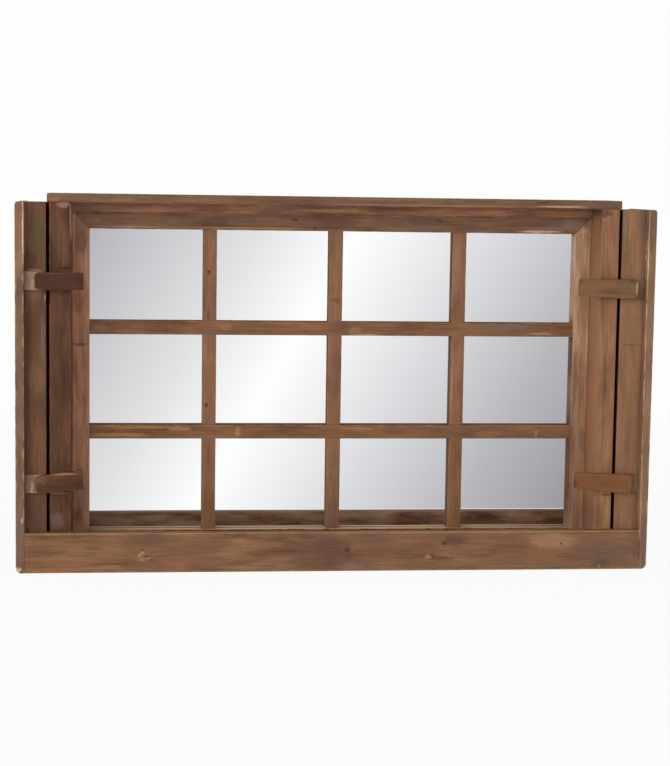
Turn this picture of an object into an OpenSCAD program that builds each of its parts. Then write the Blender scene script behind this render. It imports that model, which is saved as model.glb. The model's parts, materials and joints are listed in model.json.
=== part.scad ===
/* [Carcass] */
// Overall width over the two side boards
outer_w = 1000; // [860:1:1300]
// Overall depth, from the front edges of the side boards to the wall
outer_d = 126; // [90:1:180]
// Height of the side boards
side_h = 574.5; // [460:0.5:800]
// Thickness of the side boards
side_t = 13.5; // [10:0.5:18]
// Radius of the side boards' outer top corners
side_top_r = 4.5; // [2:0.5:9]
// Radius of the side boards' outer bottom corners
side_foot_r = 9; // [3:0.5:12]
// Height of the front board
lip_h = 63; // [40:1:100]
// Thickness of the front board
lip_t = 17; // [15:0.5:20]
// Thickness of the bottom board
bottom_t = 16; // [12:0.5:20]
// Thickness of the post boards
post_t = 16; // [12:0.5:24]
// Width of the left post board
left_post_w = 33; // [31:0.5:45]
// How far the tops of the post boards lie below the tops of the side boards
post_drop = 1; // [0.5:0.5:8]
// Height of the blocks that close the posts at the top
cap_h = 14; // [10:1:40]
// Rounding of the long arrises of the boards
arris_r = 1.6; // [0.5:0.1:2.5]

/* [Window unit] */
// Face width of the mitred frame
frame_w = 26.5; // [20:0.5:40]
// Thickness of the mitred frame and the glazing bars
frame_t = 14; // [10:0.5:18]
// Face width of the left jamb
left_jamb_w = 32.5; // [26:0.5:44]
// Face width of the right jamb, where the right post board takes up the difference
right_jamb_w = 28; // [20:0.5:34]
// Width of the upright glazing bars
upright_w = 22; // [14:0.5:30]
// How far the middle upright bar stands right of the middle, and the outer ones half as far
middle_bar_off = 1.5; // [-8:0.5:8]
// Height of the level glazing bars
level_h = 22; // [14:0.5:30]
// How much taller the bottom row of panes is than the others
low_row_extra = 2; // [-10:0.5:20]
// Thickness of the sill board
sill_t = 9.5; // [9:0.5:16]
// Thickness of the header board
header_t = 13.6; // [10:0.2:20]
// How far the header runs past the outer faces of the jambs
header_lap = 3.7; // [0:0.1:4.5]
// Height of the header above the post boards
header_gap = 0.5; // [0.3:0.1:3]
// Height of the fillet strip under the header
fillet_h = 15; // [8:0.2:20]
// How far the fillet stands in front of the mitred frame
fillet_proud = 6; // [0:0.5:12]
// Thickness of the mirror glass
glass_t = 3; // [2:0.5:4]
// Thickness of the backing board
backing_t = 3; // [2:0.5:4]
// How far the glass and backing stay short of the frame's outer edge
glass_inset = 3; // [1:0.5:8]
// Width of each of the two black slots beside the window unit
slot_w = 5; // [4.5:0.5:10]

/* [Straps] */
// Thickness of the straps
strap_t = 11; // [8:0.5:12]
// Thickness of the pivot blocks behind the straps
pivot_block_t = 5; // [3:0.5:6]
// Width of the pivot blocks
pivot_block_w = 30; // [20:1:31]
// Height of the pivot blocks
pivot_block_h = 29; // [22:1:40]
// How far the left straps run past the inner face of their jamb
left_overhang = 20; // [0:0.5:30]
// How far the right straps run past the inner face of their jamb
right_overhang = 37.5; // [0:0.5:45]
// Length of the left straps behind the pivot
left_tail = 8; // [7:0.5:12]
// Length of the right straps behind the pivot
right_tail = 11; // [7:0.5:12]
// Distance of each pivot from the inner face of its side board
pivot_inset = 24.5; // [20:0.5:26]
// Distance of the upper left pivot below the top of its post board
upper_left_drop = 120; // [90:0.5:180]
// Distance of the upper right pivot below the top of its post board
upper_right_drop = 124.5; // [90:0.5:180]
// Height of the lower left pivot above the front board
lower_left_rise = 75.5; // [73:0.5:120]
// Height of the lower right pivot above the front board
lower_right_rise = 74.5; // [73:0.5:120]
// Tilt at which the upper right strap was left
upper_right_tilt = 1.5; // [0:0.5:20]
// Tilt at which the lower left strap was left
lower_left_tilt = 7; // [0:0.5:20]
// Tilt at which the lower right strap was left
lower_right_tilt = 4.5; // [0:0.5:20]
// Height of the plain straps at the pivot end
strap_h = 27; // [24:0.5:34]
// Height of the right straps at the pivot end, which are cut wider
wide_strap_h = 31.5; // [24:0.5:34]
// Height of the upper left strap at the tip
upper_left_tip_h = 26.5; // [20:0.5:34]
// Height of the lower left strap at the tip
lower_left_tip_h = 30.5; // [20:0.5:34]
// Height of the upper right strap at the tip
upper_right_tip_h = 27.5; // [20:0.5:34]
// Height of the lower right strap at the tip
lower_right_tip_h = 25; // [20:0.5:34]
// Radius of the lower corner at the tips of the left straps
square_toe_r = 2; // [1.5:0.5:8]
// Radius of the lower corner at the tips of the right straps
round_toe_r = 7; // [2:0.5:9]
// Radius of the corners at the pivot ends
heel_r = 7; // [3:0.5:8]

/* [Back and hanging] */
// Thickness of the back panel
panel_t = 3.5; // [3:0.5:6]
// Height of the two back rails
rail_h = 60; // [59:1:90]
// Thickness of the two back rails
rail_t = 12.7; // [12:0.1:18]
// Distance between the two keyhole plates
hanger_span = 760; // [400:1:800]
// Distance of the keyhole entries below the tops of the post boards
hanger_drop = 37.5; // [36:0.5:38]
// Radius of the keyhole entry
keyhole_r = 4.5; // [4:0.1:5.5]
// Radius of the keyhole neck
keyhole_neck_r = 2.3; // [1.8:0.1:3]
// Rise from the keyhole entry to the end of the neck
keyhole_rise = 9; // [7:0.5:11]
// Thickness of the keyhole plates
plate_t = 1.5; // [1:0.1:2]
// Width of the keyhole plates
plate_w = 18; // [16:0.5:24]
// Length of the keyhole plates
plate_h = 46; // [44:1:48]

/* [Fixings] */
// Shank radius of the strap screws
screw_r = 2; // [1.5:0.1:2.5]
// Head radius of the strap screws
screw_head_r = 4; // [3.5:0.1:4.2]
// Head height of the strap screws
screw_head_t = 2.4; // [2:0.1:3]
// Length of the strap screws under the head
screw_len = 24; // [18:0.5:26]
// Radius of the wooden plugs over the strap screws
plug_r = 4.5; // [4.4:0.1:5]
// Thickness of the wooden plugs
plug_t = 3; // [2:0.1:3.4]
// Shank radius of the nails
nail_r = 1; // [0.8:0.1:1.4]
// Head radius of the nails
nail_head_r = 1.9; // [1.6:0.1:2.6]
// Head height of the nails
nail_head_t = 1; // [0.6:0.1:1.4]
// Length of the nails
nail_len = 30; // [26:1:32]
// How far the long nails reach past the jambs into the sill and the stiles
nail_grip = 16; // [10:1:18]
// Radius of the retaining pins and panel pins
pin_r = 0.6; // [0.5:0.05:0.9]
// Length of the retaining pins
pin_len = 16; // [12:1:20]
// Length of the panel pins
panel_pin_len = 12; // [8:1:14]
// Shank radius of the plate screws
plate_screw_r = 1.5; // [1.2:0.1:1.8]
// Length of the plate screws
plate_screw_len = 10; // [8:0.5:12]

/* [Hidden] */
$fn = 48;
hull_fn = 32;

// Panes in a row and in a column, which the glazing bars' nodes follow
columns = 4;
rows = 3;
// Clearance between pieces of different bodies that face each other
seat_gap = 0.4;
// Radial clearance of nails, pins and screws in their holes
hole_gap = 0.02;
// Radial running clearance of the straps on their screws
pivot_gap = 0.05;
// Gap in front of and behind a strap screw's head
head_gap = 0.3;
// Running clearance between a strap and its pivot block
strap_gap = 0.3;
// Slack of a retaining pin against the backing board
pin_lift = 0.1;
// Slack of a half-lap on each side of a crossing
lap_gap = 0.1;
// Rounding of the arrises of the pivot blocks, the header and the glazing bars
block_arris_r = 0.8;
header_arris_r = 2.4;
bar_arris_r = 1.2;
// Radius of the upper corner at the tip of a strap
brow_r = 2;
// Where a pair of nails lies along the pieces that it joins, and a row of retaining pins
nail_shares = [0.25, 0.75];
pin_shares = [0.12, 0.5, 0.88];
// The nails in the front board: distance to an edge, and how far they stop short of its face
lip_nail_edge = 10;
lip_nail_stop = 3;
// The pins of the back panel: how many in a row, and from the side boards to the row's ends
panel_pin_count = 4;
panel_pin_edge = 60;
// Distance from the plate screws to the plate's ends, and room around a keyhole in the rail
plate_screw_edge = 4.5;
pocket_gap = 1.5;
// A cut runs this far past the surface that it opens
past = 1;

front_y = -outer_d / 2;
back_y = outer_d / 2;
side_in = outer_w / 2 - side_t;
post_front = front_y + lip_t;
unit_front = post_front + seat_gap;
rail_front = back_y - rail_t;
panel_front = rail_front - panel_t;
unit_back = panel_front - seat_gap;
backing_back = unit_back - 2 * pin_r - 3 * pin_lift;
backing_front = backing_back - backing_t;
glass_front = backing_front - glass_t;
frame_front = glass_front - frame_t;
post_top = side_h - post_drop;

unit_bottom = bottom_t + seat_gap;
frame_bottom = unit_bottom + sill_t;
opening_bottom = frame_bottom + frame_w;
header_bottom = post_top + header_gap;
frame_top = header_bottom - fillet_h;
opening_top = frame_top - frame_w;
opening_h = opening_top - opening_bottom;
frame_out = side_in - left_post_w - slot_w - left_jamb_w;
opening_w = 2 * (frame_out - frame_w);

pane_w = (opening_w - (columns - 1) * upright_w) / columns;
pane_h = (opening_h - low_row_extra - (rows - 1) * level_h) / rows;

block_front = post_front - pivot_block_t;
strap_back = block_front - strap_gap;
strap_front = strap_back - strap_t;
screw_seat = strap_front + plug_t + head_gap + screw_head_t;
pivot_x = side_in - pivot_inset;
upper_left_z = post_top - upper_left_drop;
upper_right_z = post_top - upper_right_drop;
lower_left_z = lip_h + lower_left_rise;
lower_right_z = lip_h + lower_right_rise;
hanger_z = post_top - hanger_drop;
rail_mids = [bottom_t + rail_h / 2, post_top - rail_h / 2];
plate_mid = hanger_z + (keyhole_rise + keyhole_neck_r - keyhole_r) / 2;

wood_mid = "#7b573f";
wood_dark = "#54362a";
wood_light = "#8a6a50";
wood_raw = "#b59a76";
steel = "#8c8c8c";
mirror_tint = "#c4c4c9";

function jamb_w(side) = side < 0 ? left_jamb_w : right_jamb_w;
function unit_out(side) = frame_out + jamb_w(side);
function slot_out(side) = unit_out(side) + slot_w;
function overhang(side) = side < 0 ? left_overhang : right_overhang;
function reach(side) = pivot_x - frame_out + overhang(side);
function tail(side) = side < 0 ? left_tail : right_tail;
function share(low, high, k) = low + k * (high - low);
function root_h(side) = side < 0 ? strap_h : wide_strap_h;
function bar_off(i) = middle_bar_off * 2 * min(i, columns - i) / columns;
function upright_x(i) = -opening_w / 2 + i * pane_w + (i - 1) * upright_w + bar_off(i);
function level_z(i) = opening_bottom + low_row_extra + i * pane_h + (i - 1) * level_h;

// Pieces on the left are drawn on the right and turned over
module on_side(side) { mirror([side < 0 ? 1 : 0, 0, 0]) children(); }

// A rectangle with round corners
module soft_rect(w, h, r) {
    translate([r, 0]) square([w - 2 * r, h]);
    translate([0, r]) square([w, h - 2 * r]);
    for (x = [r, w - r], y = [r, h - r]) translate([x, y]) circle(r = r);
}

// A planed board between two corners, with its four long arrises eased
module board_x(low, high, r = arris_r) {
    size = high - low;
    translate(low) rotate([90, 0, 90]) linear_extrude(size[0]) soft_rect(size[1], size[2], r);
}

module board_z(low, high, r = arris_r) {
    size = high - low;
    translate(low) linear_extrude(size[2]) soft_rect(size[0], size[1], r);
}

// A round shank or hole along one axis
module rod_x(x0, x1, y, z, r) { translate([x0, y, z]) rotate([0, 90, 0]) cylinder(r = r, h = x1 - x0); }

module rod_y(x, y0, y1, z, r) { translate([x, y0, z]) rotate([-90, 0, 0]) cylinder(r = r, h = y1 - y0); }

module rod_z(x, y, z0, z1, r) { translate([x, y, z0]) cylinder(r = r, h = z1 - z0); }

// A nail with its head flush at the given face; gap widens it into its hole
module nail_x(side, y, z, face, length, gap = 0) {
    on_side(side) {
        rod_x(face - nail_head_t, face + (gap > 0 ? past : 0), y, z, nail_head_r + gap);
        rod_x(face - length - gap, face, y, z, nail_r + gap);
    }
}

// Two nails at each end come through the post boards from behind into the front board
module lip_nails(gap = 0) {
    y = post_front + post_t;
    for (side = [-1, 1], z = [bottom_t + lip_nail_edge, lip_h - lip_nail_edge]) {
        x = side * (side_in + slot_out(side)) / 2;
        rod_y(x, y - nail_head_t, y + (gap > 0 ? past : 0), z, nail_head_r + gap);
        rod_y(x, front_y + lip_nail_stop - gap, y, z, nail_r + gap);
    }
}

// The side boards are nailed to the bottom board and to the post caps
module carcass_nails(gap = 0) {
    cap_mid = (post_front + post_t + panel_front) / 2;
    for (k = nail_shares)
        nail_x(1, share(post_front, back_y, k), bottom_t / 2, outer_w / 2, nail_len, gap);
    nail_x(1, cap_mid, post_top - cap_h / 2, outer_w / 2, nail_len, gap);
}

// Long nails through the jambs hold the sill and the mitred frame, and others the header
module unit_nails(side, gap = 0) {
    length = jamb_w(side) + nail_grip;
    for (k = nail_shares) {
        y = share(unit_front, unit_back, k);
        z = share(frame_bottom, frame_top, k);
        nail_x(side, y, unit_bottom + sill_t / 2, unit_out(side), length, gap);
        nail_x(side, frame_front + frame_t / 2, z, unit_out(side), length, gap);
    }
}

module top_nails(side, gap = 0) {
    top = header_bottom + header_t;
    x = side * (unit_out(side) - jamb_w(side) / 2);
    for (k = nail_shares) {
        y = share(unit_front, unit_back, k);
        rod_z(x, y, top - nail_head_t, top + (gap > 0 ? past : 0), nail_head_r + gap);
        rod_z(x, y, top - nail_len - gap, top, nail_r + gap);
    }
}

// Fine pins lie against the back of the backing board, half their length in the jambs
module glazing_pins(side, gap = 0) {
    y = backing_back + pin_r + pin_lift;
    on_side(side) for (k = pin_shares)
        rod_x(frame_out - pin_len / 2, frame_out + pin_len / 2 + gap,
            y, share(frame_bottom, frame_top, k), pin_r + gap);
}

module rail_pins(z, gap = 0) {
    end = side_in - panel_pin_edge;
    for (i = [0 : panel_pin_count - 1])
        rod_y(share(-end, end, i / (panel_pin_count - 1)), panel_front - (gap > 0 ? past : 0),
            panel_front + panel_pin_len + gap, z, pin_r + gap);
}

// Keyhole plates: outline, entry and neck, and their screws
module keyhole(y0, y1) {
    rod_y(0, y0, y1, hanger_z, keyhole_r);
    rod_y(0, y0, y1, hanger_z + keyhole_rise, keyhole_neck_r);
    translate([-keyhole_neck_r, y0, hanger_z]) cube([2 * keyhole_neck_r, y1 - y0, keyhole_rise]);
}

module at_hangers() { for (x = [-1, 1]) translate([x * hanger_span / 2, 0, 0]) children(); }

module plate_fixing(gap = 0) {
    for (k = [-1, 1]) {
        z = plate_mid + k * (plate_h / 2 - plate_screw_edge);
        rod_y(0, back_y - plate_t / 2, back_y + (gap > 0 ? past : 0), z, 2 * plate_screw_r + gap);
        rod_y(0, back_y - plate_screw_len - gap, back_y, z, plate_screw_r + gap);
    }
}

// Everything that stands or is cut on the axis of one strap's pivot
module at_pivot(side, z) { translate([side * pivot_x, 0, z]) children(); }

module pivot_hole(y0, y1) { rod_y(0, y0, y1, 0, screw_r + hole_gap); }

// The front view of a side board, with its rounded outer corners
module side_outline() {
    square([side_t - side_foot_r, side_h]);
    translate([0, side_foot_r]) square([side_t, side_h - side_foot_r - side_top_r]);
    translate([0, side_foot_r]) square([side_t - side_top_r, side_h - side_foot_r]);
    translate([side_t - side_foot_r, side_foot_r]) intersection() {
        circle(r = side_foot_r);
        translate([0, -side_foot_r]) square(side_foot_r);
    }
    translate([side_t - side_top_r, side_h - side_top_r]) circle(r = side_top_r);
}

module side_board(side) {
    on_side(side) difference() {
        intersection() {
            translate([side_in, back_y, 0]) rotate([90, 0, 0]) linear_extrude(outer_d) side_outline();
            board_z([side_in, front_y, 0], [outer_w / 2, back_y, side_h]);
        }
        carcass_nails(hole_gap);
    }
}

module post_board(side, z_upper, z_lower) {
    difference() {
        on_side(side)
            board_z([slot_out(side), post_front, bottom_t], [side_in, post_front + post_t, post_top]);
        lip_nails(hole_gap);
        for (z = [z_upper, z_lower]) at_pivot(side, z)
            pivot_hole(post_front - past, screw_seat + screw_len + hole_gap);
    }
}

module post_cap(side) {
    on_side(side) difference() {
        translate([slot_out(side), post_front + post_t, post_top - cap_h])
            cube([side_in - slot_out(side), panel_front - post_front - post_t, cap_h]);
        carcass_nails(hole_gap);
    }
}

module front_board() {
    color(wood_mid) difference() {
        board_x([-side_in, front_y, 0], [side_in, front_y + lip_t, lip_h]);
        lip_nails(hole_gap);
    }
}

module bottom_board() {
    color(wood_mid) difference() {
        translate([-side_in, post_front, 0]) cube([2 * side_in, back_y - post_front, bottom_t]);
        for (side = [-1, 1]) on_side(side) carcass_nails(hole_gap);
    }
}

module back_panel() {
    color(wood_raw) difference() {
        translate([-side_in, panel_front, bottom_t])
            cube([2 * side_in, panel_t, post_top - bottom_t]);
        for (z = rail_mids) rail_pins(z, hole_gap);
    }
}

module back_rail(z0) {
    translate([-side_in, rail_front, z0]) cube([2 * side_in, back_y - rail_front, rail_h]);
}

module back_rail_top() {
    color(wood_raw) difference() {
        back_rail(post_top - rail_h);
        rail_pins(rail_mids[1], hole_gap);
        at_hangers() {
            translate([-plate_w / 2, back_y - plate_t, plate_mid - plate_h / 2])
                cube([plate_w, plate_t + past, plate_h]);
            keyhole_pocket();
            plate_fixing(hole_gap);
        }
    }
}

// The pocket behind a keyhole runs through the rail, with room for the head of a wall screw
module keyhole_pocket() {
    half_w = keyhole_r + pocket_gap;
    low = hanger_z - half_w;
    high = hanger_z + keyhole_rise + half_w;
    translate([-half_w, rail_front - past, low])
        cube([2 * half_w, back_y - rail_front + 2 * past, high - low]);
}

module back_rail_bottom() {
    color(wood_raw) difference() {
        back_rail(bottom_t);
        rail_pins(rail_mids[0], hole_gap);
    }
}

module pivot_block(side, z) {
    on_side(side) difference() {
        board_x([side_in - pivot_block_w, block_front, z - pivot_block_h / 2],
            [side_in, post_front, z + pivot_block_h / 2], block_arris_r);
        at_pivot(1, z) pivot_hole(block_front - past, post_front + past);
    }
}

module pivot_screw() {
    rod_y(0, screw_seat - screw_head_t, screw_seat, 0, screw_head_r);
    rod_y(0, screw_seat, screw_seat + screw_len, 0, screw_r);
}

module keyhole_plate() {
    difference() {
        translate([-plate_w / 2, back_y - plate_t, plate_mid - plate_h / 2])
            cube([plate_w, plate_t, plate_h]);
        keyhole(back_y - plate_t - past, back_y + past);
        plate_fixing(hole_gap);
    }
}

module header() {
    color(wood_mid) difference() {
        board_x([-unit_out(-1) - header_lap, unit_front, header_bottom],
            [unit_out(1) + header_lap, unit_back, header_bottom + header_t], header_arris_r);
        for (side = [-1, 1]) top_nails(side, hole_gap);
    }
}

module sill_board() {
    color(wood_mid) difference() {
        translate([-frame_out, unit_front, unit_bottom])
            cube([2 * frame_out, unit_back - unit_front, sill_t]);
        for (side = [-1, 1]) unit_nails(side, hole_gap);
    }
}

module jamb(side) {
    difference() {
        on_side(side)
            board_z([frame_out, unit_front, unit_bottom], [unit_out(side), unit_back, header_bottom]);
        unit_nails(side, hole_gap);
        top_nails(side, hole_gap);
        glazing_pins(side, hole_gap);
    }
}

module top_fillet() {
    color(wood_mid) translate([-frame_out, frame_front - fillet_proud, frame_top])
        cube([2 * frame_out, frame_t + fillet_proud, fillet_h]);
}

// A mitred member of the frame: a level one, and an upright one
module frame_rail(z_out, z_in) {
    translate([0, glass_front, 0]) rotate([90, 0, 0]) linear_extrude(frame_t)
        polygon([[-frame_out, z_out], [frame_out, z_out], [opening_w / 2, z_in], [-opening_w / 2, z_in]]);
}

module frame_stile(side) {
    difference() {
        on_side(side) translate([0, glass_front, 0]) rotate([90, 0, 0]) linear_extrude(frame_t)
            polygon([[frame_out, frame_bottom], [frame_out, frame_top],
                [opening_w / 2, opening_top], [opening_w / 2, opening_bottom]]);
        unit_nails(side, hole_gap);
    }
}

// Glazing bars, with their front arrises eased; the level bars pass in front at each crossing
module bar_profile(w) {
    r = bar_arris_r;
    translate([0, r]) square([w, frame_t - r]);
    translate([r, 0]) square([w - 2 * r, r]);
    for (x = [r, w - r]) translate([x, r]) circle(r = r);
}

module upright_bar(i) {
    x = upright_x(i);
    difference() {
        translate([x, frame_front, opening_bottom]) linear_extrude(opening_h) bar_profile(upright_w);
        for (k = [1 : rows - 1])
            translate([x - past, frame_front - past, level_z(k) - lap_gap])
                cube([upright_w + 2 * past, frame_t / 2 + past, level_h + 2 * lap_gap]);
    }
}

module level_bar(k) {
    z = level_z(k);
    difference() {
        translate([-opening_w / 2, frame_front, z + level_h]) rotate([0, 90, 0])
            linear_extrude(opening_w) bar_profile(level_h);
        for (i = [1 : columns - 1])
            translate([upright_x(i) - lap_gap, frame_front + frame_t / 2, z - past])
                cube([upright_w + 2 * lap_gap, frame_t / 2 + past, level_h + 2 * past]);
    }
}

module sheet_behind_frame(y0, t) {
    translate([-frame_out + glass_inset, y0, frame_bottom + glass_inset])
        cube([2 * (frame_out - glass_inset), t, frame_top - frame_bottom - 2 * glass_inset]);
}

// A strap points towards the window from its pivot; it narrows or widens to its tip
module strap(side, tip_h, toe_r) {
    long = reach(side);
    back = tail(side);
    h = root_h(side);
    on_side(side) difference() {
        translate([0, strap_back, 0]) rotate([90, 0, 0]) linear_extrude(strap_t) hull() {
            for (z = [-1, 1])
                translate([back - heel_r, z * (h / 2 - heel_r)]) circle(r = heel_r, $fn = hull_fn);
            translate([brow_r - long, tip_h / 2 - brow_r]) circle(r = brow_r, $fn = hull_fn);
            translate([toe_r - long, toe_r - tip_h / 2]) circle(r = toe_r, $fn = hull_fn);
        }
        rod_y(0, strap_front - past, screw_seat + head_gap, 0, plug_r + hole_gap);
        rod_y(0, strap_front, strap_back + past, 0, screw_r + pivot_gap);
    }
}

module plug() { rod_y(0, strap_front, strap_front + plug_t, 0, plug_r); }

// Places a strap or its plug at its pivot, turned by the tilt at which it rests
module at_strap(side, z, tilt) { at_pivot(side, z) rotate([0, side * tilt, 0]) children(); }

module upper_left() { at_strap(-1, upper_left_z, 0) children(); }

module lower_left() { at_strap(-1, lower_left_z, lower_left_tilt) children(); }

module upper_right() { at_strap(1, upper_right_z, upper_right_tilt) children(); }

module lower_right() { at_strap(1, lower_right_z, lower_right_tilt) children(); }

module pivot_screws() {
    color(steel) for (z = [upper_left_z, lower_left_z]) at_pivot(-1, z) pivot_screw();
    color(steel) for (z = [upper_right_z, lower_right_z]) at_pivot(1, z) pivot_screw();
}

module panel_pins() {
    color(steel) for (z = rail_mids) rail_pins(z);
}

module side_board_left() { color(wood_light) side_board(-1); }

module side_board_right() { color(wood_light) side_board(1); }

module post_board_left() { color(wood_dark) post_board(-1, upper_left_z, lower_left_z); }

module post_board_right() { color(wood_mid) post_board(1, upper_right_z, lower_right_z); }

module post_cap_left() { color(wood_dark) post_cap(-1); }

module post_cap_right() { color(wood_mid) post_cap(1); }

module pivot_block_upper_left() { color(wood_light) pivot_block(-1, upper_left_z); }

module pivot_block_upper_right() { color(wood_light) pivot_block(1, upper_right_z); }

module pivot_block_lower_left() { color(wood_light) pivot_block(-1, lower_left_z); }

module pivot_block_lower_right() { color(wood_light) pivot_block(1, lower_right_z); }

module keyhole_plates() { color(steel) at_hangers() keyhole_plate(); }

module plate_screws() { color(steel) at_hangers() plate_fixing(); }

module front_board_nails() { color(steel) lip_nails(); }

module side_board_nails() { color(steel) for (side = [-1, 1]) on_side(side) carcass_nails(); }

module jamb_left() { color(wood_mid) jamb(-1); }

module jamb_right() { color(wood_mid) jamb(1); }

module frame_top_rail() { color(wood_mid) frame_rail(frame_top, opening_top); }

module frame_bottom_rail() { color(wood_mid) frame_rail(frame_bottom, opening_bottom); }

module frame_left_stile() { color(wood_mid) frame_stile(-1); }

module frame_right_stile() { color(wood_mid) frame_stile(1); }

module upright_bar_1() { color(wood_mid) upright_bar(1); }

module upright_bar_2() { color(wood_mid) upright_bar(2); }

module upright_bar_3() { color(wood_mid) upright_bar(3); }

module level_bar_1() { color(wood_mid) level_bar(1); }

module level_bar_2() { color(wood_mid) level_bar(2); }

module mirror_glass() { color(mirror_tint) sheet_behind_frame(glass_front, glass_t); }

module backing_board() { color(wood_raw) sheet_behind_frame(backing_front, backing_t); }

module retaining_pins() { color(steel) for (side = [-1, 1]) glazing_pins(side); }

module header_nails() { color(steel) for (side = [-1, 1]) top_nails(side); }

module jamb_nails() { color(steel) for (side = [-1, 1]) unit_nails(side); }

module strap_upper_left() { color(wood_dark) upper_left() strap(-1, upper_left_tip_h, square_toe_r); }

module strap_upper_right() { color(wood_mid) upper_right() strap(1, upper_right_tip_h, round_toe_r); }

module strap_lower_left() { color(wood_mid) lower_left() strap(-1, lower_left_tip_h, square_toe_r); }

module strap_lower_right() { color(wood_mid) lower_right() strap(1, lower_right_tip_h, round_toe_r); }

module plug_upper_left() { color(wood_dark) upper_left() plug(); }

module plug_upper_right() { color(wood_mid) upper_right() plug(); }

module plug_lower_left() { color(wood_mid) lower_left() plug(); }

module plug_lower_right() { color(wood_mid) lower_right() plug(); }

side_board_left();
side_board_right();
post_board_left();
post_board_right();
post_cap_left();
post_cap_right();
front_board();
bottom_board();
back_panel();
back_rail_top();
back_rail_bottom();
pivot_block_upper_left();
pivot_block_lower_left();
pivot_block_upper_right();
pivot_block_lower_right();
pivot_screws();
keyhole_plates();
plate_screws();
front_board_nails();
side_board_nails();
panel_pins();
header();
sill_board();
jamb_left();
jamb_right();
top_fillet();
frame_top_rail();
frame_bottom_rail();
frame_left_stile();
frame_right_stile();
upright_bar_1();
upright_bar_2();
upright_bar_3();
level_bar_1();
level_bar_2();
mirror_glass();
backing_board();
retaining_pins();
header_nails();
jamb_nails();
strap_upper_left();
strap_lower_left();
strap_upper_right();
strap_lower_right();
plug_upper_left();
plug_lower_left();
plug_upper_right();
plug_lower_right();
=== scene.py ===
"""A landscape window mirror in stained, worn softwood: a glazed frame of twelve panes in a deep
box that stands behind a front board, held by four turning wooden straps. Sizes are in metres."""

import json
import math

import bpy
from mathutils import Matrix, Vector

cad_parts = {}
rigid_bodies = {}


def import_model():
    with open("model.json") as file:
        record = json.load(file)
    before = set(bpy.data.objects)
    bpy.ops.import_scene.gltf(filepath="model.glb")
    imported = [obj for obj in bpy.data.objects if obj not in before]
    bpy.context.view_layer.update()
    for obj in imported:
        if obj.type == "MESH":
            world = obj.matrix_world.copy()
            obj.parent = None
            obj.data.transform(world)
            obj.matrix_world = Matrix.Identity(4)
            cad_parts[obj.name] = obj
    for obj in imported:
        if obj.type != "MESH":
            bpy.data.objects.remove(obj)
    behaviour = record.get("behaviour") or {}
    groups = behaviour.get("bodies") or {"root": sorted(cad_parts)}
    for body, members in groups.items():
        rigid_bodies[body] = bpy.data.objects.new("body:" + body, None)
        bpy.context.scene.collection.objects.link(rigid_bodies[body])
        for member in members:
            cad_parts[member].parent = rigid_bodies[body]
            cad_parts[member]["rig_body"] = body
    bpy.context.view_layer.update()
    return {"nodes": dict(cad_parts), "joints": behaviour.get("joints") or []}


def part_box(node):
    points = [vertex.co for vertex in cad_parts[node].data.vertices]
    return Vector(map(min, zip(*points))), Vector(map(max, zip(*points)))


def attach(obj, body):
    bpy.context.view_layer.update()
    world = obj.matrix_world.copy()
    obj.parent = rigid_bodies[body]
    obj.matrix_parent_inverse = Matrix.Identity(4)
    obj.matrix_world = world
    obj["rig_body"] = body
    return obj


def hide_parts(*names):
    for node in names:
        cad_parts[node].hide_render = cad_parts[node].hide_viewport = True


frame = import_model()
scene = bpy.context.scene
scene.view_settings.view_transform = "Standard"

# The camera: a product photographer stands left of the middle with a long lens, a little above
# the object's top edge, and looks slightly down. The sensor's long side is the picture's height.
camera = bpy.data.objects.new("camera", bpy.data.cameras.new("camera"))
camera.data.lens = 86.94
camera.data.sensor_width = 36
camera.location = (-0.3118, -2.9167, 0.6075)
camera.rotation_euler = [math.radians(angle) for angle in (83.863, -0.835, -6.011)]
scene.collection.objects.link(camera)
scene.camera = camera


# The studio: a white sweep that the picture shows as paper white, a wide soft lamp high on the
# left, a weaker one on the right, and an even pale room around them.
def add(tree, kind, inputs=None, **settings):
    """Adds a node; an input is a value, a socket, or a node whose first output is used."""
    node = tree.nodes.new(kind)
    for name, value in settings.items():
        setattr(node, name, value)
    for socket, value in (inputs or {}).items():
        if isinstance(value, bpy.types.Node):
            value = value.outputs[0]
        if isinstance(value, bpy.types.NodeSocket):
            tree.links.new(value, node.inputs[socket])
        else:
            node.inputs[socket].default_value = value
    return node


def linear(hex_colour):
    """An sRGB hex colour as linear values, opaque."""
    parts = [int(hex_colour[i:i + 2], 16) / 255 for i in (1, 3, 5)]
    return [c / 12.92 if c <= 0.04045 else ((c + 0.055) / 1.055) ** 2.4 for c in parts] + [1.0]


def new_material(name):
    """An empty material, its node tree, and the Object coordinates that its patterns lie on."""
    material = bpy.data.materials.new(name)
    material.use_nodes = True
    tree = material.node_tree
    tree.nodes.clear()
    return material, tree, add(tree, "ShaderNodeTexCoord").outputs["Object"]


def sheet(name, corners, material):
    """A flat sheet with four corners, which faces the side that sees them anticlockwise."""
    mesh = bpy.data.meshes.new(name)
    mesh.from_pydata(corners, [], [(0, 1, 2, 3)])
    mesh.materials.append(material)
    flat = bpy.data.objects.new(name, mesh)
    scene.collection.objects.link(flat)
    return flat


def lamp(name, place, size, power, target):
    """A rectangular area lamp that faces its target."""
    light = bpy.data.objects.new(name, bpy.data.lights.new(name, "AREA"))
    light.data.shape = "RECTANGLE"
    light.data.size, light.data.size_y = size
    light.data.energy = power
    light.location = place
    aim = Vector(target) - Vector(place)
    light.rotation_euler = aim.to_track_quat("-Z", "Y").to_euler()
    scene.collection.objects.link(light)


def picture_ray(tree):
    """1 for rays that show the background: from the camera, a mirror or glass."""
    path = add(tree, "ShaderNodeLightPath")
    seen = path.outputs["Is Camera Ray"]
    for ray in ("Is Glossy Ray", "Is Transmission Ray"):
        seen = add(tree, "ShaderNodeMath", {0: seen, 1: path.outputs[ray]}, operation="MAXIMUM")
    return seen


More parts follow.
